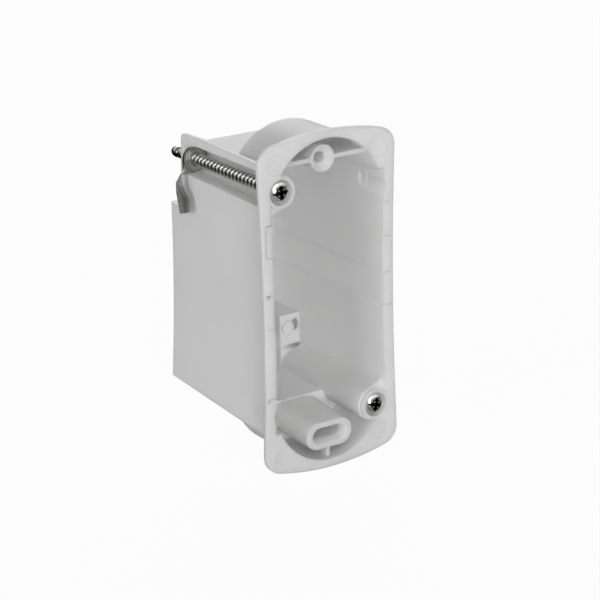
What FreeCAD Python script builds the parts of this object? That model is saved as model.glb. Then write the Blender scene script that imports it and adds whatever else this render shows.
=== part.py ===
import FreeCAD, Part
import math
import os
from FreeCAD import Vector

os.makedirs("parts", exist_ok=True)

# Flush mounting box for hollow walls, millimetres.
# X is to the right seen from the room, Y goes into the wall, Z is up.
# The origin is the middle of the flange's back face, the face that seats on the wall board.
# The box looks the same after half a turn about Y, apart from its two device bosses.

# Flange: waisted long sides, bulged ends, a shallow round mark in each corner
flange_thickness = 1.5
flange_side_rim = 4.5
flange_end_rim = 2.4
flange_side_bow = 0.93
flange_corner_radius = 5.6
flange_corner_rise = 13.6
pad_radius = 2.9
pad_depth = 0.15
pad_inset = 6.0
pad_rise = 0.3

# Opening and walls; the long walls are bowed, drafted and lean in beside the claws
opening_half_width = 18.5
opening_end_radius = 18.9
opening_end_height = 29.4
wall = 1.35
pocket_wall = 1.5
rear_wall = 1.5
box_depth = 56.9
side_bow_front = 1.34
side_bow_rear = 1.37
side_draft = 1.45
side_lean = 1.3
body_rise_front = 8.3
body_rise_rear = 6.6
body_rear_lift = 1.0
body_edge_radius = 1.6
pocket_depth = 20.0
panel_recess = 0.3
panel_low = -4.1
panel_high = 5.4
scallop_radius = 4.6
scallop_inset = 3.2
scallop_rise = 1.8
scallop_depth = 7.8
scallop_slot_depth = 3.0
scallop_slot_rim = 0.2

# Device bosses
device_screw_spacing = 83.3
device_screw_offset = 0.35
boss_radius = 4.0
boss_front = 0.9
boss_hole_radius = 1.75
boss_hole_depth = 15.0
funnel_radius = 3.5
funnel_depth = 1.9
slot_boss_radius = 4.05
slot_boss_front = 0.3
slot_boss_half = 3.9
slot_boss_rise = 0.9
slot_boss_growth = 0.6
slot_radius = 1.7
slot_half = 3.5
slot_depth = 16.0
slot_lip_radius = 2.6
slot_lip_half = 3.2
slot_lip_depth = 2.4
web = 1.3
web_notch = 0.8

# Claw screws and their channels
screw_inset = 2.9
screw_rise = 5.8
screw_radius = 1.9
screw_hole_clearance = 0.08
seat_y = 0.6
seat_boss_length = 2.4
seat_ring_radius = 4.8
counterbore_radius = 3.7
head_radius = 3.4
head_height = 2.2
head_rim = 0.7
head_flat_radius = 2.0
cross_arm = 1.1
cross_span = 1.9
cross_root = 1.0
cross_depth = 1.5
cross_rim = 0.3
cross_turn = -7.0
shank_overhang = 5.7
tip_neck_radius = 1.3
tip_lump_radius = 1.7
tip_neck_length = 0.5
tip_lump_length = 2.3
tip_end_length = 3.6
tip_flat_radius = 1.0
channel_radius = 4.2
channel_wall = 1.15
channel_roof_slope = 0.4
channel_floor_slope = 0.4
channel_inset = 12.4

# Frame round each claw's window in the side wall
frame_thickness = 1.0
fin_rise = 8.6
fin_foot = 5.0
fin_bend_inset = 10.5
fin_drop = 0.6
fin_low_rise_front = 6.5
fin_low_rise_rear = 3.9
fin_overhang = 2.4
fin_corner_radius = 2.6
post_gap = 0.15
post_overhang = 3.9

# Claw recess in the rear corner of the box
recess_drop = 15.4
recess_wall = 1.2
recess_forward = 1.9
mark_radius = 2.4
mark_width = 0.35
mark_depth = 0.3
mark_inset = 2.4
mark_drop = 12.1
peep_radius = 1.3
peep_half = 0.6
peep_drop = 12.9
drain_height = 1.4

# Claws: bent steel, hub in the channel and arm folded down beside the wall
claw_thickness = 1.1
claw_hub_radius = 3.95
claw_thread_clearance = 0.05
claw_collar_radius = 3.1
claw_collar_length = 0.9
claw_play = 0.1
claw_tab_gap = 0.2
claw_tab_back = 0.8
claw_neck_height = 1.4
claw_shoulder_height = 0.3
claw_shoulder_drop = 7.2
claw_tip_drop = 15.6
claw_front_drop = 14.5
claw_knee_drop = 10.6
claw_elbow_drop = 9.5
claw_step_drop = 7.0
claw_reach = 4.0
claw_elbow_reach = 2.9
claw_step_reach = 0.7
claw_heel_drop = 8.0
claw_heel = 2.2
claw_bend_radius = 0.6

# Values worked out from the ones above
front_y = -flange_thickness
flange_width = 2 * (opening_half_width + flange_side_rim)
flange_height = 2 * (opening_end_height + opening_end_radius + flange_end_rim)
flange_corner_height = opening_end_height + flange_corner_rise
pad_x = flange_width / 2 - pad_inset
pad_z = flange_corner_height + pad_rise
front_half_height = opening_end_height + body_rise_front
rear_half_height = opening_end_height + body_rise_rear
scallop_x = opening_half_width - scallop_inset
scallop_z = opening_end_height + scallop_rise
screw_x = opening_half_width - screw_inset
screw_z = opening_end_height + screw_rise
fin_top = screw_z + fin_rise
recess_x = screw_x - channel_radius
recess_z = screw_z - recess_drop
mark_x = screw_x - mark_inset
mark_z = screw_z - mark_drop
top_boss_z = device_screw_spacing / 2 + device_screw_offset
bottom_boss_z = -device_screw_spacing / 2 + device_screw_offset
boss_end = pocket_depth - pocket_wall / 2
channel_rear = box_depth - channel_inset
fin_bend_y = channel_rear - fin_bend_inset
fin_rear = channel_rear + fin_overhang
post_rear = channel_rear + post_overhang
shank_end = channel_rear + shank_overhang
claw_front = channel_rear + claw_play
claw_rear = claw_front + claw_thickness
post_front = claw_rear + post_gap
recess_front = claw_front - recess_forward
recess_face = recess_front - recess_wall
recess_roof = screw_z - channel_radius - channel_wall
far = 100.0
past = 1.0
eps = 0.01


def box(x0, x1, y0, y1, z0, z1):
    """Box from its lowest and highest corners."""
    return Part.makeBox(x1 - x0, y1 - y0, z1 - z0, Vector(x0, y0, z0))


def rod(x, z, radius, y0, y1):
    """Round bar along Y."""
    return Part.makeCylinder(radius, y1 - y0, Vector(x, y0, z), Vector(0, 1, 0))


def plate(corners, x0, x1):
    """Flat piece across X from its (y, z) corners."""
    points = [Vector(x0, y, z) for y, z in corners]
    return Part.Face(Part.makePolygon(points + points[:1])).extrude(Vector(x1 - x0, 0, 0))


def half_turn(shape):
    """The same shape after half a turn about the Y axis."""
    turned = shape.copy()
    turned.rotate(Vector(0, 0, 0), Vector(0, 1, 0), 180)
    return turned


def join(shapes):
    """One solid out of several that touch or overlap."""
    return shapes[0].multiFuse(shapes[1:]).removeSplitter()


def line(a, b):
    return Part.LineSegment(a, b).toShape()


def arc(a, b, c):
    return Part.Arc(a, b, c).toShape()


def oblong(radius, half, y, z):
    """Outline with straight long sides in X and round ends."""
    return Part.Wire([
        line(Vector(-half, y, z + radius), Vector(half, y, z + radius)),
        arc(Vector(half, y, z + radius), Vector(half + radius, y, z), Vector(half, y, z - radius)),
        line(Vector(half, y, z - radius), Vector(-half, y, z - radius)),
        arc(Vector(-half, y, z - radius), Vector(-half - radius, y, z), Vector(-half, y, z + radius)),
    ])


def skin(first, last):
    """Solid with straight lines between two outlines."""
    return Part.makeLoft([first, last], True, True)


def flange_outline(y):
    half_w = flange_width / 2
    half_h = flange_height / 2
    cx = half_w - flange_corner_radius
    cz = flange_corner_height
    reach = half_h - flange_corner_radius
    centre_z = (cx ** 2 + cz ** 2 - reach ** 2) / (2 * (cz - reach))
    turn = math.atan2(cz - centre_z, cx)

    def corner(sx, sz, angle):
        return Vector(sx * (cx + flange_corner_radius * math.cos(angle)), y,
                      sz * (cz + flange_corner_radius * math.sin(angle)))

    edges = []
    for sz in (1, -1):
        for sx in (1, -1):
            edges.append(arc(corner(sx, sz, 0), corner(sx, sz, turn / 2), corner(sx, sz, turn)))
        edges.append(arc(corner(1, sz, turn), Vector(0, y, sz * half_h), corner(-1, sz, turn)))
    for sx in (1, -1):
        edges.append(arc(corner(sx, 1, 0), Vector(sx * (half_w - flange_side_bow), y, 0),
                         corner(sx, -1, 0)))
    return Part.Wire(Part.__sortEdges__(edges))


def side_slab(offset):
    """Everything between the two long side surfaces, moved outwards by offset."""
    reach = 60.0
    share = (reach / flange_corner_height) ** 2

    def outline(y):
        deep = y / box_depth
        middle = opening_half_width + offset - side_draft * deep
        bow = (side_bow_front + (side_bow_rear - side_bow_front) * deep) * share
        lean = side_lean * deep * reach / flange_corner_height
        outer = middle + bow + lean
        inner = middle + bow - lean
        return Part.Wire([
            arc(Vector(inner, y, -reach), Vector(middle, y, 0), Vector(outer, y, reach)),
            line(Vector(outer, y, reach), Vector(-inner, y, reach)),
            arc(Vector(-inner, y, reach), Vector(-middle, y, 0), Vector(-outer, y, -reach)),
            line(Vector(-outer, y, -reach), Vector(inner, y, -reach)),
        ])
    return skin(outline(front_y - past), outline(box_depth + past))


def height_slab(offset, y0, y1):
    """Everything between the top and bottom walls, which draw together and rise to the rear."""
    corners = []
    for side, y in ((-1, y0), (-1, y1), (1, y1), (1, y0)):
        share = y / box_depth
        half = front_half_height + (rear_half_height - front_half_height) * share + offset
        corners.append((y, side * half + body_rear_lift * share))
    return plate(corners, -far, far)


def channel_profile(offset, floor_slope, y0, y1):
    """Round channel about the top left screw, widening to a window in the left side."""
    radius = channel_radius + offset
    run = 3 * radius
    turn = math.atan(floor_slope)
    low = Vector(-screw_x + radius * math.sin(turn), y0, screw_z - radius * math.cos(turn))
    side = Vector(-screw_x + radius, y0, screw_z)
    high = Vector(-screw_x, y0, screw_z + radius)
    far_high = Vector(-screw_x - run, y0, screw_z + radius + run * channel_roof_slope)
    far_low = Vector(-screw_x - run, y0, low.z - (low.x + screw_x + run) * floor_slope)
    outline = Part.Wire([arc(low, side, high), line(high, far_high), line(far_high, far_low),
                         line(far_low, low)])
    return Part.Face(outline).extrude(Vector(0, y1 - y0, 0))


def make_deep(slab_out):
    """The deep body as a full solid with rounded rear edges."""
    deep = slab_out.common(height_slab(0, front_y, box_depth))
    edges = [e for e in deep.Edges if min(v.Point.y for v in e.Vertexes) > box_depth - eps]
    return deep.makeFillet(body_edge_radius, edges)


def make_shell(slab_in, slab_out, deep):
    """Flange, front pockets with round ends and the deep body behind them, all hollow."""
    flange = Part.Face(flange_outline(front_y)).extrude(Vector(0, flange_thickness, 0))
    solid = [flange, deep]
    empty = [slab_in.common(height_slab(-wall, front_y - past, box_depth - rear_wall))]
    for sz in (1, -1):
        end_z = sz * opening_end_height
        tube = rod(0, end_z, opening_end_radius + wall, front_y, pocket_depth)
        solid.append(tube.common(slab_out))
        bore = rod(0, end_z, opening_end_radius, front_y - past, pocket_depth - pocket_wall)
        empty.append(bore.common(slab_in))
    return join(solid).cut(join(empty))


def make_channel(slab_out):
    """Walls of the top left screw channel and its screw seat."""
    walls = channel_profile(channel_wall, channel_floor_slope, 0, channel_rear)
    ring = rod(-screw_x, screw_z, seat_ring_radius, front_y, seat_y + seat_boss_length)
    return [walls.common(slab_out), ring.common(slab_out)]


def make_blocks(deep):
    """Blocks in two rear corners, which the claw recesses are cut into."""
    block = box(-far, recess_wall - recess_x, recess_face, far, recess_z - recess_wall, far)
    return [block.common(deep), half_turn(block).common(deep)]


def make_frame(slab_out, slab_frame):
    """Fin, post and tongue round the top left window, in the surface of the side wall."""
    sill = screw_z - channel_radius
    corners = [(0, fin_top), (fin_bend_y, fin_top), (fin_rear, fin_top - fin_drop),
               (post_rear, sill), (post_rear, recess_z - past),
               (channel_rear - past, recess_z - past), (channel_rear - past, sill),
               (post_front, sill), (post_front, screw_z + fin_low_rise_rear),
               (fin_bend_y, screw_z + fin_low_rise_front), (0, screw_z + fin_low_rise_front)]
    frame = plate(corners, -far, -screw_x)
    top_rear = [e for e in frame.Edges
                if all(abs(v.Point.y - fin_rear) < eps and abs(v.Point.z - fin_top + fin_drop) < eps
                       for v in e.Vertexes)]
    frame = frame.makeFillet(fin_corner_radius, top_rear).common(slab_out)
    root = Part.Face(slab_frame.slice(Vector(0, 1, 0), fin_foot)[0])
    behind = box(-far, far, fin_foot, far, -far, far)
    return frame.cut(root.extrude(Vector(0, -fin_foot - past, 0))).cut(slab_frame.common(behind))


def channel_cuts(slab_in):
    """Everything that is cut away round the top left screw and claw."""
    window = channel_profile(0, 0, seat_y + seat_boss_length, claw_front + eps)
    recess = box(-far, -recess_x, claw_front, far, recess_z, far)
    pocket = box(-far, -recess_x, recess_front, claw_front + eps, recess_z, recess_roof)
    hole = rod(-screw_x, screw_z, screw_radius + screw_hole_clearance, front_y, far)
    bore = rod(-screw_x, screw_z, counterbore_radius, front_y - past, seat_y)
    return [window, recess, pocket.common(slab_in), hole, bore] + recess_face_cuts(slab_in)


def recess_face_cuts(slab_in):
    """Openings and round mark in the wall between the recess and the inside of the box."""
    before = recess_face - past
    behind = recess_front + past
    disc = rod(-mark_x, mark_z, mark_radius, before, behind)
    core = rod(-mark_x, mark_z, mark_radius - mark_width, before, behind)
    ring = disc.cut(core).common(box(-far, far, before, recess_face + mark_depth, -far, far))
    peep_z = screw_z - peep_drop
    peep = join([rod(-screw_x, peep_z + peep_half, peep_radius, before, behind),
                 rod(-screw_x, peep_z - peep_half, peep_radius, before, behind),
                 box(-screw_x - peep_radius, -screw_x + peep_radius, before, behind,
                     peep_z - peep_half, peep_z + peep_half)])
    drain = box(-far, -recess_x, before, behind, recess_roof - drain_height, recess_roof)
    return [ring, peep.cut(disc), drain.common(slab_in)]


def scallop_cuts():
    """Round clearance in the side wall at the top right, with a narrow slot at its end."""
    dent = rod(scallop_x, scallop_z, scallop_radius, front_y - past, scallop_depth)
    slot = rod(scallop_x, scallop_z, scallop_radius - scallop_slot_rim, 0,
               scallop_depth + scallop_slot_depth)
    return [dent, slot]


def make_slot_boss():
    """Oblong boss that rises and widens towards the rear: two leaning cones and a block."""
    run = math.hypot(boss_end - slot_boss_front, slot_boss_rise)
    along = Vector(0, boss_end - slot_boss_front, slot_boss_rise) / run
    across = Vector(0, -along.z, along.y)
    spread = slot_boss_growth / run
    start = Vector(0, slot_boss_front, bottom_boss_z) - along * past
    end = start + along * (run + 2 * past)
    radii = (slot_boss_radius - spread * past, slot_boss_radius + spread * (run + past))
    corners = [start + across * radii[0], end + across * radii[1],
               end - across * radii[1], start - across * radii[0]]
    block = Part.Face(Part.makePolygon(corners + corners[:1])).extrude(Vector(2 * slot_boss_half, 0, 0))
    block.translate(Vector(-slot_boss_half, 0, 0))
    pieces = [block]
    for sx in (1, -1):
        side = Vector(sx * slot_boss_half, 0, 0)
        pieces.append(Part.makeCone(radii[0], radii[1], run + 2 * past, start + side, along))
    return join(pieces).common(box(-far, far, slot_boss_front, boss_end, -far, far))


def make_bosses(slab_out):
    """Round boss on a web at the top, slotted boss on a rib at the bottom."""
    reach = opening_end_radius + wall / 2
    bosses = [rod(0, top_boss_z, boss_radius, boss_front, boss_end)]
    top_web = box(-far, far, boss_front, boss_end, top_boss_z - web / 2, top_boss_z + web / 2)
    top_web = top_web.common(rod(0, opening_end_height, reach, boss_front, boss_end))
    bosses.append(top_web.common(slab_out))
    bosses.append(make_slot_boss())
    bosses.append(box(-web / 2, web / 2, slot_boss_front + web / 2, boss_end,
                      -opening_end_height - reach, bottom_boss_z))
    return bosses


def boss_cuts():
    """Screw hole with its lead-in, slot with its lead-in, notch in the web."""
    lip = oblong(slot_lip_radius, slot_lip_half, slot_boss_front, bottom_boss_z)
    throat = oblong(slot_radius, slot_half, slot_boss_front + slot_lip_depth, bottom_boss_z)
    floor = oblong(slot_radius, slot_half, slot_boss_front + slot_depth, bottom_boss_z)
    return [
        rod(0, top_boss_z, boss_hole_radius, front_y, boss_front + boss_hole_depth),
        Part.makeCone(funnel_radius, boss_hole_radius, funnel_depth,
                      Vector(0, boss_front, top_boss_z), Vector(0, 1, 0)),
        skin(lip, throat),
        skin(throat, floor),
        box(-boss_radius - web_notch, -boss_radius, front_y, boss_front + web / 2,
            top_boss_z, top_boss_z + web),
    ]


def make_box():
    """The whole moulding as one solid."""
    slab_in = side_slab(0)
    slab_out = side_slab(wall)
    slab_frame = side_slab(wall - frame_thickness)
    slab_panel = side_slab(panel_recess)
    deep = make_deep(slab_out)
    body = make_shell(slab_in, slab_out, deep)

    added = make_channel(slab_out)
    added = added + [half_turn(s) for s in added] + make_blocks(deep) + make_bosses(slab_out)
    body = join([body] + added)

    cuts = channel_cuts(slab_in) + scallop_cuts()
    panel = box(0, far, front_y - past, box_depth - rear_wall, panel_low, panel_high)
    cuts.append(panel.common(slab_panel))
    for sx in (1, -1):
        cuts.append(rod(sx * pad_x, pad_z, pad_radius, front_y - past, front_y + pad_depth))
    cuts = cuts + [half_turn(s) for s in cuts] + boss_cuts()
    for cut in cuts:
        body = body.cut(cut)

    frame = make_frame(slab_out, slab_frame)
    return join([body, frame, half_turn(frame)])


def make_screw():
    """Top left claw screw: pan head with a cross recess, plain shank, riveted tip."""
    head_top = seat_y - head_height
    crown = Vector(0, head_top, 0)
    flat = Vector(head_flat_radius, head_top, 0)
    shoulder = Vector(head_radius, seat_y - head_rim, 0)
    edges = [line(crown, flat), line(flat, shoulder)]
    first_neck = shank_end + tip_neck_length
    second_neck = first_neck + tip_lump_length
    tip_start = second_neck + tip_neck_length
    tip = tip_start + tip_end_length
    steps = [(head_radius, seat_y), (screw_radius, seat_y), (screw_radius, shank_end),
             (tip_neck_radius, shank_end), (tip_neck_radius, first_neck),
             (tip_lump_radius, first_neck), (tip_lump_radius, second_neck),
             (tip_neck_radius, second_neck), (tip_neck_radius, tip_start),
             (tip_lump_radius, tip_start)]
    last = shoulder
    for radius, at in steps:
        here = Vector(radius, at, 0)
        edges.append(line(last, here))
        last = here
    rim = Vector(tip_lump_radius, tip - tip_lump_radius + tip_flat_radius, 0)
    edge = Vector(tip_flat_radius, tip, 0)
    end = Vector(0, tip, 0)
    edges = edges + [line(last, rim), line(rim, edge), line(edge, end), line(end, crown)]
    outline = Part.Wire(Part.__sortEdges__(edges))
    screw = Part.Face(outline).revolve(Vector(0, 0, 0), Vector(0, 1, 0), 360)

    for turn in (0, 90):
        blade = [Vector(-cross_span, head_top - past, -cross_arm / 2),
                 Vector(cross_span, head_top - past, -cross_arm / 2),
                 Vector(cross_span, head_top + cross_rim, -cross_arm / 2),
                 Vector(cross_root, head_top + cross_depth, -cross_arm / 2),
                 Vector(-cross_root, head_top + cross_depth, -cross_arm / 2),
                 Vector(-cross_span, head_top + cross_rim, -cross_arm / 2)]
        blade = Part.Face(Part.makePolygon(blade + blade[:1])).extrude(Vector(0, 0, cross_arm))
        blade.rotate(Vector(0, 0, 0), Vector(0, 1, 0), turn + cross_turn)
        screw = screw.cut(blade)
    screw.translate(Vector(-screw_x, 0, screw_z))
    return screw


def make_claw():
    """Top left claw at rest."""
    sill = screw_z - channel_radius + claw_play
    side_at_sill = wall + side_bow_front * (sill / flange_corner_height) ** 2
    tab_in = opening_half_width + side_at_sill + claw_tab_gap
    tab_out = tab_in + claw_thickness
    tab_rear = claw_rear + claw_tab_back
    left = screw_x + claw_hub_radius
    hub = rod(-screw_x, screw_z, claw_hub_radius, claw_front, claw_rear)
    quarter = box(-left, -screw_x, claw_front, claw_rear, sill, screw_z)
    neck = box(-tab_out, -left, claw_front, claw_rear, sill, sill + claw_neck_height)
    collar = rod(-screw_x, screw_z, claw_collar_radius, claw_front - claw_collar_length, claw_rear)
    corners = [(tab_rear, sill + claw_neck_height), (tab_rear, screw_z - claw_heel_drop),
               (tab_rear - claw_heel, screw_z - claw_tip_drop),
               (claw_front - claw_reach, screw_z - claw_front_drop),
               (claw_front - claw_reach, screw_z - claw_knee_drop),
               (claw_front - claw_elbow_reach, screw_z - claw_elbow_drop),
               (claw_front - claw_step_reach, screw_z - claw_step_drop),
               (claw_front, sill + claw_neck_height / 2), (claw_front, sill + claw_neck_height)]
    tab = plate(corners, -tab_out, -tab_in)
    claw = join([hub, quarter, neck, collar, tab])
    bend = [e for e in claw.Edges
            if all(abs(v.Point.x + tab_out) < eps and abs(v.Point.y - tab_rear) < eps
                   for v in e.Vertexes)]
    claw = claw.makeFillet(claw_bend_radius, bend)
    slant = [Vector(-left, 0, sill + claw_neck_height), Vector(-tab_in, 0, sill + claw_shoulder_height),
             Vector(-tab_out, 0, screw_z - claw_shoulder_drop), Vector(-tab_out - past, 0, screw_z - far),
             Vector(-tab_out - past, 0, screw_z), Vector(-left, 0, screw_z)]
    slant = Part.Face(Part.makePolygon(slant + slant[:1])).extrude(Vector(0, far, 0))
    hole = rod(-screw_x, screw_z, screw_radius + claw_thread_clearance, 0, far)
    return claw.cut(slant).cut(hole).removeSplitter()


def save(name, shape):
    shape.exportStep("parts/" + name + ".step")
    print(name, "solids", len(shape.Solids), "valid", shape.isValid(), "volume", round(shape.Volume, 1))


screw_top_left = make_screw()
claw_top_left = make_claw()
save("mounting_box", make_box())
save("screw_top_left", screw_top_left)
save("claw_top_left", claw_top_left)
save("screw_bottom_right", half_turn(screw_top_left))
save("claw_bottom_right", half_turn(claw_top_left))
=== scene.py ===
import math

import bmesh
import bpy
from mathutils import Matrix, Vector


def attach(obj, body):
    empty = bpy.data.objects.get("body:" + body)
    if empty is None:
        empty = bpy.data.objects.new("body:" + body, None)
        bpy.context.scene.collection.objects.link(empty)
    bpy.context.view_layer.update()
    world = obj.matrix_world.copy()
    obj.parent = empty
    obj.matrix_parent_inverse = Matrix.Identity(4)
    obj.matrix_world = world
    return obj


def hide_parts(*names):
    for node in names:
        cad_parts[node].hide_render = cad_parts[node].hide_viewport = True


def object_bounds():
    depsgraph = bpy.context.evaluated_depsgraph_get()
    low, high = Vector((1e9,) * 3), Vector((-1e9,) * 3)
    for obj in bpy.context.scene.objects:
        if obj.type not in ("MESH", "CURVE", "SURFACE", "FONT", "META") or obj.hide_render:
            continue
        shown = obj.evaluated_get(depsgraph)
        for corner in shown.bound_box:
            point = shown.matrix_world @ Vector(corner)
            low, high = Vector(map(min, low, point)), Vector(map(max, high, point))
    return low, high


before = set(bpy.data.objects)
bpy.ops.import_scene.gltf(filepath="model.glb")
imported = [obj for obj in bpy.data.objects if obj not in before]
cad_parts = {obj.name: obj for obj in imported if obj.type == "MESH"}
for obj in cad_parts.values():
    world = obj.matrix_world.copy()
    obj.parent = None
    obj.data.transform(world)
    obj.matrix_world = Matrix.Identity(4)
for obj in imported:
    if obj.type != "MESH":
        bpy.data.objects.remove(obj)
cad_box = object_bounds()

# Lengths are in millimetres and angles in degrees, unless a comment says otherwise
MM = 0.001

# Corners of a square of half size 1, in turn
SQUARE = ((-1, -1), (1, -1), (1, 1), (-1, 1))

# Camera as in the photograph, in the part's own frame: turns in radians, clipping in metres
CAMERA_PLACE = Vector((-311.57, -462.27, 192.66)) * MM
CAMERA_YAW = -0.579
CAMERA_PITCH = 0.332
CAMERA_ROLL = -0.024
CAMERA_LENS = 123.69
CAMERA_SENSOR = 36.0
CAMERA_CLIP = (0.01, 100.0)

# Square lamps: name, place and side in metres, power in watts
LAMPS = (("front", (-0.3, -1.1, 0.08), 0.22, 4.1),
         ("key", (-0.62, -1.05, 0.30), 0.8, 1.1),
         ("high", (-0.5, -1.0, 0.9), 0.8, 3.0),
         ("left", (-1.3, -0.1, 0.3), 0.9, 5.8),
         ("back", (0.7, 0.9, 0.6), 0.9, 6.2))

# Floor and surroundings; the floor's half size is in metres
WHITE = (1, 1, 1, 1)
WORLD_LIGHT = 0.09
FLOOR_HALF = 6.0
FLOOR_GAP = 0.4
FLOOR_COLOUR = (0.82, 0.82, 0.82, 1)
FLOOR_ROUGHNESS = 0.9
FLOOR_SPECULAR = 0.1
FLOOR_SEEN_WHITE = 0.96

# What glossy rays see instead, chosen for the metals: a sky that rises from dark to bright between two
# heights of the direction, and a floor whose grey goes from dark behind to pale in front, per metre
GLOSS_SKY = 1.2
GLOSS_UNDER = (0.03, 0.03, 0.03, 1)
GLOSS_RISE = (0.1, 0.55)
GLOSS_FRONT = (0.34, 0.34, 0.34, 1)
GLOSS_BEHIND = (0.02, 0.02, 0.02, 1)
GLOSS_RATE = 8.0
GLOSS_MIDDLE = 0.5

# Box plastic: a noise is (scale per metre, detail), and its darkest colour is a share of the full one
PLASTIC = (0.90, 0.90, 0.897, 1)
PLASTIC_CLOUDS = (55.0, 3.0)
PLASTIC_CLOUD_LIMITS = (0.35, 0.65)
PLASTIC_DARKEST = 0.975
PLASTIC_GRAIN = (2600.0, 2.0)
PLASTIC_ROUGHNESS = (0.42, 0.5)
PLASTIC_SPECULAR = 0.45
PLASTIC_EDGE = 0.25
PLASTIC_BUMP = 0.05
PLASTIC_BUMP_HEIGHT = 0.02
PLASTIC_LIGHT_DEPTH = 2.6
BOX_SOFTNESS = 1.0
EDGE_SAMPLES = 6

# Metals: zinc of the screws, steel of the claws
METAL_CLOUD_LIMITS = (0.3, 0.7)
ZINC = (0.84, 0.83, 0.81, 1)
ZINC_CLOUDS = (900.0, 4.0)
ZINC_DARKEST = 0.72
ZINC_ROUGHNESS = (0.12, 0.26)
STEEL_CLOUDS = (1400.0, 4.0)
STEEL_DARKEST = 0.7
STEEL_ROUGHNESS = (0.34, 0.5)
STEEL_EDGE = 0.3

# Claw screws: steps are points round the axis, and profiles are (radius, y) from the head to the tip
SCREW_X = 15.6
SCREW_Z = 35.2
SCREW_STEPS = 40
SCREW_SHARP_ANGLE = 38
HEAD_TURNS = {"screw_top_left": -4, "screw_bottom_right": 14}
HEAD_TOP = -1.6
HEAD_PROFILE = ((0.9, -1.59), (1.7, -1.49), (2.4, -1.24), (2.95, -0.86), (3.28, -0.42), (3.4, 0.0),
                (3.4, 0.4), (3.2, 0.6), (1.6, 0.6))
TIP_PROFILE = ((1.3, 50.2), (1.3, 50.6), (1.5, 50.75), (1.67, 51.2), (1.7, 51.9), (1.62, 52.7),
               (1.4, 53.2), (1.2, 53.45), (1.35, 53.75), (1.64, 54.2), (1.7, 55.0), (1.6, 55.9),
               (1.3, 56.6), (0.75, 57.0))
TIP_END = 57.1

# Thread: rows of points per turn, and how strongly and sharply its wave rises to the flat crest
THREAD_FRONT = 2.4
THREAD_REAR = 50.2
THREAD_PITCH = 1.95
THREAD_OUTER = 1.9
THREAD_ROOT = 1.35
THREAD_ROWS = 20
THREAD_GAIN = 1.35
THREAD_POWER = 1.2

# Recess of the head: a cross and a longer, shallower slot. A reach is measured from the axis, the taper
# is the floor's share of the mouth, and the cutters start a lead in front of the head
CROSS_REACH = 2.4
CROSS_WIDTH = 1.4
CROSS_FLOOR = 0.4
SLOT_REACH = 3.6
SLOT_WIDTH = 0.7
SLOT_FLOOR = -0.3
RECESS_TAPER = 0.6
RECESS_LEAD = 1.0

# Painted shade: a dark colour inside the head's recess, and greys by distance from the screw's axis,
# (radius, grey), that paint shade into the thread's roots and rings of painted light and shade on the
# claw's hub
RECESS_TOP = -1.15
RECESS_RADIUS = 2.5
RECESS_SHADE_COLOUR = (0.09, 0.09, 0.09, 1)
RADIUS_REACH = 5.0
ROOT_PAINTED_SHADE = ((0.0, 1.0), (1.25, 1.0), (1.3, 0.06), (1.55, 0.1), (1.75, 0.8), (1.9, 1.0))
HUB_PAINTED_LIGHT_AND_SHADE = ((0.0, 0.5), (3.0, 0.55), (3.15, 0.4), (3.6, 0.5), (3.8, 0.4), (3.9, 0.14), (3.96, 0.14),
              (4.1, 0.5))
GREY_WARMTH = 0.98

# Claw's blade, the part beyond this x: painted light and shade by distance in front of its rear edge,
# (distance, grey): a painted dark reflection at the edge, a painted highlight, then painted shade towards
# the front.
# Below the heel's height the rear edge slants forwards, by this much for each millimetre down
BLADE_X = 20.6
BLADE_REAR = 46.5
BLADE_HEEL_Z = 27.2
BLADE_SLANT = 0.289
BLADE_REACH = 7.0
BLADE_PAINTED_LIGHT_AND_SHADE = ((0.0, 0.012), (0.38, 0.015), (0.55, 0.5), (1.6, 0.42), (4.5, 0.17), (6.0, 0.12))
BLADE_METAL = 0.35

# Claw's shoulder: a prism over this triangle (x, y, z) of the top left claw, along the camera's
# direction, cuts it to a slant; points closer than the weld are joined first
SHOULDER = ((-19.6, 45.07, 32.82), (-22.2, 46.7, 27.5), (-30.0, 46.0, 33.8))
SHOULDER_DEPTH = 5.0
CLAW_WELD = 0.002

# Faint moulding marks on the flange, half sunk in it: lines across the rims as (side, height), one
# upright line on the left as (x, low, high), and two square dots at (x, z). They are opaque, since thin
# translucent blocks go dark
MARK_LINES = ((-1, 26.4), (-1, 16.9), (-1, 6.05), (-1, -3.96), (-1, -24.9),
              (1, 26.3), (1, 16.0), (1, 5.2), (1, -4.8))
MARK_IN = 19.2
MARK_OUT = 21.2
MARK_WIDTH = 0.24
MARK_UPRIGHT = (-21.1, 16.9, 26.4)
MARK_DOTS = ((-20.95, 5.65), (-21.6, -25.5))
MARK_DOT = 0.9
MARK_FACE = -1.5
MARK_THICKNESS = 0.06
# Darker than the box plastic: painted shade that stands in for the shade of the tiny raised marks
MARK_SHADE_COLOUR = (0.7, 0.7, 0.697, 1)
MARK_SOFTNESS = 0.0


def material(name):
    """New node material; returns it with its tree and its Principled shader."""
    mat = bpy.data.materials.new(name)
    mat.use_nodes = True
    tree = mat.node_tree
    return mat, tree, tree.nodes["Principled BSDF"]


def add(tree, kind, **inputs):
    """New node with its named inputs set."""
    node = tree.nodes.new(kind)
    for key, value in inputs.items():
        node.inputs[key].default_value = value
    return node


def feed(tree, value, socket):
    """Joins another node's output to a socket, or sets the socket to a plain value."""
    if isinstance(value, bpy.types.NodeSocket):
        tree.links.new(value, socket)
    else:
        socket.default_value = value


def calc(tree, operation, *values):
    """Maths node; each value is a socket or a number."""
    node = tree.nodes.new("ShaderNodeMath")
    node.operation = operation
    for value, socket in zip(values, node.inputs):
        feed(tree, value, socket)
    return node.outputs[0]


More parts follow.
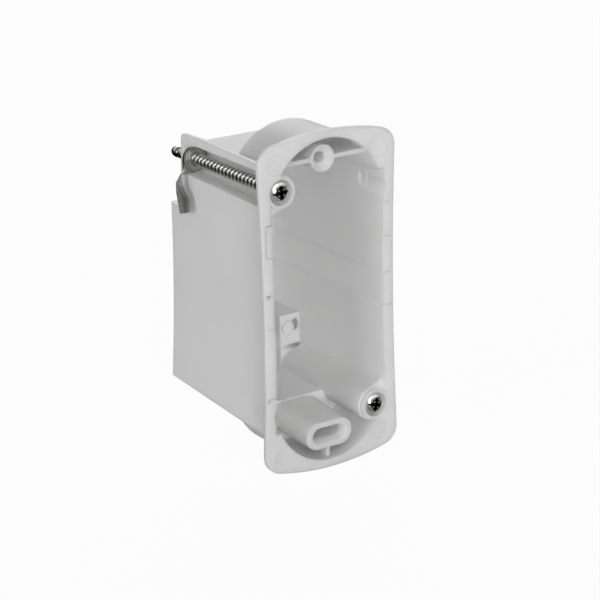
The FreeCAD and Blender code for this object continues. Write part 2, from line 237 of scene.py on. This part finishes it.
def blend(tree, kind, share, first, second):
    """Mix of two colours; each of the three is a socket or a plain value."""
    node = tree.nodes.new("ShaderNodeMix")
    node.data_type = "RGBA"
    node.blend_type = kind
    feed(tree, share, node.inputs[0])
    colours = [socket for socket in node.inputs if socket.type == "RGBA"]
    feed(tree, first, colours[0])
    feed(tree, second, colours[1])
    return next(socket for socket in node.outputs if socket.type == "RGBA")


def mix_shaders(tree, share, first, second):
    """Node that mixes the shaders of two nodes."""
    node = tree.nodes.new("ShaderNodeMixShader")
    tree.links.new(share, node.inputs["Fac"])
    tree.links.new(first.outputs[0], node.inputs[1])
    tree.links.new(second.outputs[0], node.inputs[2])
    return node


def ramp(tree, source, limits, dark, light):
    """Colour ramp from dark to light between two values of the source."""
    node = tree.nodes.new("ShaderNodeValToRGB")
    for stop, limit, colour in zip(node.color_ramp.elements, limits, (dark, light)):
        stop.position = limit
        stop.color = colour
    tree.links.new(source, node.inputs["Fac"])
    return node.outputs["Color"]


def shades(tree, source, reach, steps):
    """Grey ramp whose steps are (millimetres, grey), for a length in metres."""
    node = tree.nodes.new("ShaderNodeValToRGB")
    tree.links.new(calc(tree, "DIVIDE", source, reach * MM), node.inputs["Fac"])
    stops = node.color_ramp.elements
    for place, _ in steps[2:]:
        stops.new(place / reach)
    for stop, (place, grey) in zip(stops, steps):
        stop.position = place / reach
        stop.color = (grey, grey, grey * GREY_WARMTH, 1)
    return node.outputs["Color"]


def darker(colour, share):
    """Colour times a share, opaque."""
    return tuple(part * share for part in colour[:3]) + (1,)


def noise(tree, scale, detail):
    """Noise over the part's own coordinates."""
    coords = tree.nodes.new("ShaderNodeTexCoord")
    node = add(tree, "ShaderNodeTexNoise", Scale=scale, Detail=detail)
    tree.links.new(coords.outputs["Object"], node.inputs["Vector"])
    return node.outputs["Fac"]


def split_coordinates(tree, kind):
    """The x, y and z of one kind of texture coordinate."""
    coords = tree.nodes.new("ShaderNodeTexCoord")
    split = tree.nodes.new("ShaderNodeSeparateXYZ")
    tree.links.new(coords.outputs[kind], split.inputs[0])
    return split.outputs["X"], split.outputs["Y"], split.outputs["Z"]


def screw_coordinates(tree):
    """Absolute x, y, absolute z and the distance from the axis of the screw there, in metres."""
    x, y, z = split_coordinates(tree, "Object")
    x = calc(tree, "ABSOLUTE", x)
    z = calc(tree, "ABSOLUTE", z)
    across = calc(tree, "SUBTRACT", x, SCREW_X * MM)
    along = calc(tree, "SUBTRACT", z, SCREW_Z * MM)
    squares = [calc(tree, "MULTIPLY", length, length) for length in (across, along)]
    return x, y, z, calc(tree, "SQRT", calc(tree, "ADD", *squares))


def set_roughness(tree, shader, source, limits):
    """Roughness that follows the source between two limits."""
    low, high = limits
    node = add(tree, "ShaderNodeMapRange", **{"To Min": low, "To Max": high})
    tree.links.new(source, node.inputs["Value"])
    tree.links.new(node.outputs["Result"], shader.inputs["Roughness"])


def soft_edges(tree, radius):
    """Normal that rounds the edges."""
    node = add(tree, "ShaderNodeBevel", Radius=radius * MM)
    node.samples = EDGE_SAMPLES
    return node.outputs["Normal"]


def plastic(name, colour, softness):
    """Moulded plastic with a fine grain and rounded edges, translucent where softness isn't zero."""
    mat, tree, shader = material(name)
    clouds = noise(tree, *PLASTIC_CLOUDS)
    tint = ramp(tree, clouds, PLASTIC_CLOUD_LIMITS, darker(colour, PLASTIC_DARKEST), colour)
    tree.links.new(tint, shader.inputs["Base Color"])
    grain = noise(tree, *PLASTIC_GRAIN)
    set_roughness(tree, shader, grain, PLASTIC_ROUGHNESS)
    bump = add(tree, "ShaderNodeBump", Strength=PLASTIC_BUMP, Distance=PLASTIC_BUMP_HEIGHT * MM)
    tree.links.new(grain, bump.inputs["Height"])
    tree.links.new(soft_edges(tree, PLASTIC_EDGE), bump.inputs["Normal"])
    tree.links.new(bump.outputs["Normal"], shader.inputs["Normal"])
    shader.inputs["Specular IOR Level"].default_value = PLASTIC_SPECULAR
    shader.inputs["Subsurface Weight"].default_value = softness
    shader.inputs["Subsurface Radius"].default_value = (1.0, 1.0, 1.0)
    shader.inputs["Subsurface Scale"].default_value = PLASTIC_LIGHT_DEPTH * MM
    return mat


def screw_zinc():
    """Bright zinc, with painted shade: dark in the thread's roots and nearly black inside the head's
    recess.
    """
    mat, tree, shader = material("screw_zinc_look")
    clouds = noise(tree, *ZINC_CLOUDS)
    tint = ramp(tree, clouds, METAL_CLOUD_LIMITS, darker(ZINC, ZINC_DARKEST), ZINC)
    _, y, _, radius = screw_coordinates(tree)
    # Mask of the inside of the head's recess, which gets the painted shade colour
    below_rim = calc(tree, "GREATER_THAN", y, RECESS_TOP * MM)
    near_axis = calc(tree, "LESS_THAN", radius, RECESS_RADIUS * MM)
    in_head = calc(tree, "LESS_THAN", y, THREAD_FRONT * MM)
    recess = calc(tree, "MULTIPLY", calc(tree, "MULTIPLY", below_rim, near_axis), in_head)
    # Painted shade: greys by distance from the axis darken the thread's roots
    root_shaded = blend(tree, "MULTIPLY", 1.0, tint, shades(tree, radius, RADIUS_REACH, ROOT_PAINTED_SHADE))
    tree.links.new(blend(tree, "MIX", recess, root_shaded, RECESS_SHADE_COLOUR), shader.inputs["Base Color"])
    set_roughness(tree, shader, clouds, ZINC_ROUGHNESS)
    shader.inputs["Metallic"].default_value = 1.0
    return mat


def claw_steel():
    """Dull steel with painted light and shade: the hub has a painted dark rim and rings, and the blade a
    painted dark reflection at its rear edge, then a painted highlight, growing darker forwards.
    """
    mat, tree, shader = material("claw_steel_look")
    x, y, z, radius = screw_coordinates(tree)
    # Painted light and shade on the hub: a dark rim where the gap's shadow falls, and lighter and darker
    # rings
    hub = shades(tree, radius, RADIUS_REACH, HUB_PAINTED_LIGHT_AND_SHADE)
    below_heel = calc(tree, "MAXIMUM", calc(tree, "SUBTRACT", BLADE_HEEL_Z * MM, z), 0.0)
    rear = calc(tree, "SUBTRACT", BLADE_REAR * MM, calc(tree, "MULTIPLY", below_heel, BLADE_SLANT))
    # Painted dark reflection, highlight and shade across the blade
    blade = shades(tree, calc(tree, "SUBTRACT", rear, y), BLADE_REACH, BLADE_PAINTED_LIGHT_AND_SHADE)
    on_blade = calc(tree, "GREATER_THAN", x, BLADE_X * MM)
    tint = blend(tree, "MIX", on_blade, hub, blade)
    clouds = noise(tree, *STEEL_CLOUDS)
    specks = ramp(tree, clouds, METAL_CLOUD_LIMITS, darker(WHITE, STEEL_DARKEST), WHITE)
    tree.links.new(blend(tree, "MULTIPLY", 1.0, tint, specks), shader.inputs["Base Color"])
    metallic = calc(tree, "SUBTRACT", 1.0, calc(tree, "MULTIPLY", on_blade, 1 - BLADE_METAL))
    tree.links.new(metallic, shader.inputs["Metallic"])
    set_roughness(tree, shader, clouds, STEEL_ROUGHNESS)
    tree.links.new(soft_edges(tree, STEEL_EDGE), shader.inputs["Normal"])
    return mat


def floor_white():
    """Pale matt floor that shows white to the camera, and glossy rays see its own two greys."""
    mat, tree, shader = material("floor_white")
    shader.inputs["Base Color"].default_value = FLOOR_COLOUR
    shader.inputs["Roughness"].default_value = FLOOR_ROUGHNESS
    shader.inputs["Specular IOR Level"].default_value = FLOOR_SPECULAR
    path = tree.nodes.new("ShaderNodeLightPath")
    _, y, _ = split_coordinates(tree, "Object")
    nearness = calc(tree, "ADD", calc(tree, "MULTIPLY", y, -GLOSS_RATE), GLOSS_MIDDLE)
    greys = add(tree, "ShaderNodeEmission", Strength=1.0)
    tree.links.new(ramp(tree, nearness, (0.0, 1.0), GLOSS_BEHIND, GLOSS_FRONT), greys.inputs["Color"])
    lit = mix_shaders(tree, path.outputs["Is Glossy Ray"], shader, greys)
    glow = add(tree, "ShaderNodeEmission", Color=WHITE, Strength=1.0)
    seen = calc(tree, "MULTIPLY", path.outputs["Is Camera Ray"], FLOOR_SEEN_WHITE)
    mix = mix_shaders(tree, seen, lit, glow)
    tree.links.new(mix.outputs[0], tree.nodes["Material Output"].inputs["Surface"])
    return mat


def link_object(name, data):
    """Object for a mesh, a camera or a lamp, linked to the scene."""
    placed = bpy.data.objects.new(name, data)
    bpy.context.scene.collection.objects.link(placed)
    return placed


def camera_axes():
    """Right, up and forward directions of the photograph's camera."""
    forward = Vector((-math.sin(CAMERA_YAW) * math.cos(CAMERA_PITCH),
                      math.cos(CAMERA_YAW) * math.cos(CAMERA_PITCH), -math.sin(CAMERA_PITCH)))
    right = Vector((math.cos(CAMERA_YAW), math.sin(CAMERA_YAW), 0))
    up = right.cross(forward)
    cosine, sine = math.cos(CAMERA_ROLL), math.sin(CAMERA_ROLL)
    return cosine * right + sine * up, cosine * up - sine * right, forward


def make_camera():
    """Camera at the place and with the turn that match the photograph."""
    right, up, forward = camera_axes()
    data = bpy.data.cameras.new("camera")
    data.lens = CAMERA_LENS
    data.sensor_width = CAMERA_SENSOR
    data.clip_start, data.clip_end = CAMERA_CLIP
    camera = link_object("camera", data)
    turn = Matrix((right, up, -forward)).transposed().to_4x4()
    camera.matrix_world = Matrix.Translation(CAMERA_PLACE) @ turn
    bpy.context.scene.camera = camera


def make_floor():
    """Square floor just under the part."""
    height = cad_box[0].z - FLOOR_GAP * MM
    corners = [(x * FLOOR_HALF, y * FLOOR_HALF, height) for x, y in SQUARE]
    mesh = bpy.data.meshes.new("floor")
    mesh.from_pydata(corners, [], [(0, 1, 2, 3)])
    mesh.materials.append(floor_white())
    floor = link_object("floor", mesh)


def make_world():
    """White to the camera, a weak even light on the part, and a graded sky for glossy rays."""
    world = bpy.data.worlds.new("studio")
    bpy.context.scene.world = world
    world.use_nodes = True
    tree = world.node_tree
    tree.nodes.clear()
    light = add(tree, "ShaderNodeBackground", Color=WHITE, Strength=WORLD_LIGHT)
    white = add(tree, "ShaderNodeBackground", Color=WHITE, Strength=1.0)
    sky = add(tree, "ShaderNodeBackground", Strength=GLOSS_SKY)
    _, _, rise = split_coordinates(tree, "Generated")
    tree.links.new(ramp(tree, rise, GLOSS_RISE, GLOSS_UNDER, WHITE), sky.inputs["Color"])
    path = tree.nodes.new("ShaderNodeLightPath")
    lit = mix_shaders(tree, path.outputs["Is Glossy Ray"], light, sky)
    mix = mix_shaders(tree, path.outputs["Is Camera Ray"], lit, white)
    out = tree.nodes.new("ShaderNodeOutputWorld")
    tree.links.new(mix.outputs[0], out.inputs["Surface"])


def make_lamp(name, place, size, power):
    """Square soft lamp that points at the middle of the part."""
    data = bpy.data.lights.new(name, "AREA")
    data.energy = power
    data.size = size
    lamp = link_object(name, data)
    lamp.location = place
    lamp.rotation_mode = "QUATERNION"
    lamp.rotation_quaternion = (-Vector(place)).to_track_quat("-Z", "Y")


def closed_object(name, bm):
    """Object of a closed mesh, its faces turned outwards."""
    bmesh.ops.recalc_face_normals(bm, faces=bm.faces)
    mesh = bpy.data.meshes.new(name)
    bm.to_mesh(mesh)
    bm.free()
    return link_object(name, mesh)


def carve(solid, cutters):
    """Mesh of an object less its cutters; the objects are removed."""
    for cutter in cutters:
        cut = solid.modifiers.new("cut", "BOOLEAN")
        cut.operation = "DIFFERENCE"
        cut.solver = "EXACT"
        cut.object = cutter
    graph = bpy.context.evaluated_depsgraph_get()
    mesh = bpy.data.meshes.new_from_object(solid.evaluated_get(graph))
    for used in [solid] + cutters:
        bpy.data.objects.remove(used)
    mesh.materials.clear()
    return mesh


def finish_piece(name, mesh, mat, body, nodes):
    """Piece from a mesh, with its material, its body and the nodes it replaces."""
    mesh.materials.append(mat)
    piece = link_object(name, mesh)
    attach(piece, body)
    if nodes:
        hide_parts(*nodes)


def thread_radius(turns):
    """Radius of the rolled thread at a phase counted in turns: flat crest, round root."""
    wave = 0.5 + 0.5 * math.cos(2 * math.pi * turns)
    return THREAD_ROOT + (THREAD_OUTER - THREAD_ROOT) * min(1.0, THREAD_GAIN * wave ** THREAD_POWER)


def thread_rings():
    """Rings of the thread, which fades in and out over one pitch at its ends."""
    length = THREAD_REAR - THREAD_FRONT
    count = round(length / THREAD_PITCH * THREAD_ROWS)
    rings = []
    for i in range(count + 1):
        y = THREAD_FRONT + length * i / count
        fade = min(1.0, (y - THREAD_FRONT) / THREAD_PITCH, (THREAD_REAR - y) / THREAD_PITCH)
        ring = []
        for k in range(SCREW_STEPS):
            radius = thread_radius(y / THREAD_PITCH - k / SCREW_STEPS)
            ring.append((THREAD_ROOT + (radius - THREAD_ROOT) * fade, y))
        rings.append(ring)
    return rings


def screw_rings():
    """Rings of one screw from head to tip, each a list of (radius, y) round the axis."""
    head, tip = ([[point] * SCREW_STEPS for point in profile] for profile in (HEAD_PROFILE, TIP_PROFILE))
    return head + thread_rings() + tip


def screw_blank():
    """Screw along y in millimetres, before its recess is cut."""
    bm = bmesh.new()
    first = bm.verts.new((0, HEAD_TOP, 0))
    last = bm.verts.new((0, TIP_END, 0))
    rows = []
    for ring in screw_rings():
        row = []
        for k, (radius, y) in enumerate(ring):
            angle = 2 * math.pi * k / SCREW_STEPS
            row.append(bm.verts.new((radius * math.cos(angle), y, radius * math.sin(angle))))
        rows.append(row)
    for k in range(SCREW_STEPS):
        after = (k + 1) % SCREW_STEPS
        bm.faces.new((first, rows[0][k], rows[0][after]))
        bm.faces.new((last, rows[-1][after], rows[-1][k]))
        for front, rear in zip(rows, rows[1:]):
            bm.faces.new((front[k], rear[k], rear[after], front[after]))
    return closed_object("blank", bm)


def wedge(reach, width, floor, turn):
    """Cutter for one blade of the screw's recess, narrower at its floor."""
    mesh = bpy.data.meshes.new("wedge")
    mouth = HEAD_TOP - RECESS_LEAD
    corners = [(x * reach, mouth, z * width / 2) for x, z in SQUARE]
    corners += [(x * RECESS_TAPER, floor, z * RECESS_TAPER) for x, _, z in corners]
    faces = [(0, 1, 2, 3), (7, 6, 5, 4), (0, 4, 5, 1), (1, 5, 6, 2), (2, 6, 7, 3), (3, 7, 4, 0)]
    mesh.from_pydata(corners, [], faces)
    mesh.transform(Matrix.Rotation(math.radians(turn), 4, "Y"))
    return link_object("wedge", mesh)


def make_screw(node, body, side, mat):
    """Claw screw with its thread, recess and riveted tip in place of its plain node."""
    blank = screw_blank()
    turn = HEAD_TURNS[node]
    mesh = carve(blank, [wedge(CROSS_REACH, CROSS_WIDTH, CROSS_FLOOR, turn),
                         wedge(CROSS_REACH, CROSS_WIDTH, CROSS_FLOOR, turn + 90),
                         wedge(SLOT_REACH, SLOT_WIDTH, SLOT_FLOOR, turn)])
    mesh.transform(Matrix.Scale(MM, 4) @ Matrix.Translation((-side * SCREW_X, 0, side * SCREW_Z)))
    mesh.polygons.foreach_set("use_smooth", [True] * len(mesh.polygons))
    mesh.set_sharp_from_angle(angle=math.radians(SCREW_SHARP_ANGLE))
    finish_piece(node + "_full", mesh, mat, body, (node,))


def shoulder_cutter(side):
    """Prism that cuts one claw's shoulder; side is 1 for the top left claw and -1 for the other."""
    bm = bmesh.new()
    depth = camera_axes()[2] * SHOULDER_DEPTH
    ends = []
    for shift in (-depth, depth):
        corners = [Vector(corner) + shift for corner in SHOULDER]
        ends.append([bm.verts.new(Vector((c.x * side, c.y, c.z * side)) * MM) for c in corners])
    near, far = ends
    bm.faces.new(near)
    bm.faces.new(far)
    for k in range(len(SHOULDER)):
        after = (k + 1) % len(SHOULDER)
        bm.faces.new((near[k], near[after], far[after], far[k]))
    return closed_object("shoulder", bm)


def make_claw(node, body, side, mat):
    """Claw in place of its plain node, its shoulder cut down towards the blade."""
    bm = bmesh.new()
    bm.from_mesh(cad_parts[node].data)
    bmesh.ops.remove_doubles(bm, verts=bm.verts, dist=CLAW_WELD * MM)
    whole = closed_object("whole", bm)
    trimmed = carve(whole, [shoulder_cutter(side)])
    finish_piece(node + "_full", trimmed, mat, body, (node,))


def make_marks(mat):
    """Moulding lines and dots on the flange's front, one closed block each."""
    middle = (MARK_IN + MARK_OUT) / 2
    blocks = [(side * middle, z, MARK_OUT - MARK_IN, MARK_WIDTH) for side, z in MARK_LINES]
    x, low, high = MARK_UPRIGHT
    blocks.append((x, (low + high) / 2, MARK_WIDTH, high - low - 2 * MARK_WIDTH))
    blocks += [(x, z, MARK_DOT, MARK_DOT) for x, z in MARK_DOTS]
    bm = bmesh.new()
    for x, z, width, height in blocks:
        for vert in bmesh.ops.create_cube(bm, size=1.0)["verts"]:
            right, deep, up = vert.co
            vert.co = Vector((x + width * right, MARK_FACE - MARK_THICKNESS * deep, z + height * up)) * MM
    bmesh.ops.recalc_face_normals(bm, faces=bm.faces)
    mesh = bpy.data.meshes.new("flange_marks")
    bm.to_mesh(mesh)
    bm.free()
    finish_piece("flange_marks", mesh, mat, "box", ())


def set_material(name, mat):
    """Gives a frame node a material in place of its own."""
    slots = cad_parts[name].data.materials
    slots.clear()
    slots.append(mat)


bpy.context.scene.view_settings.view_transform = "Standard"
make_camera()
make_floor()
make_world()
for lamp in LAMPS:
    make_lamp(*lamp)

set_material("mounting_box", plastic("box_plastic_look", PLASTIC, BOX_SOFTNESS))
# The marks are raised blocks of their own; their darker colour is painted shade
make_marks(plastic("mark_plastic_look", MARK_SHADE_COLOUR, MARK_SOFTNESS))
zinc = screw_zinc()
steel = claw_steel()
make_screw("screw_top_left", "screw_tl", 1, zinc)
make_screw("screw_bottom_right", "screw_br", -1, zinc)
make_claw("claw_top_left", "claw_tl", 1, steel)
make_claw("claw_bottom_right", "claw_br", -1, steel)
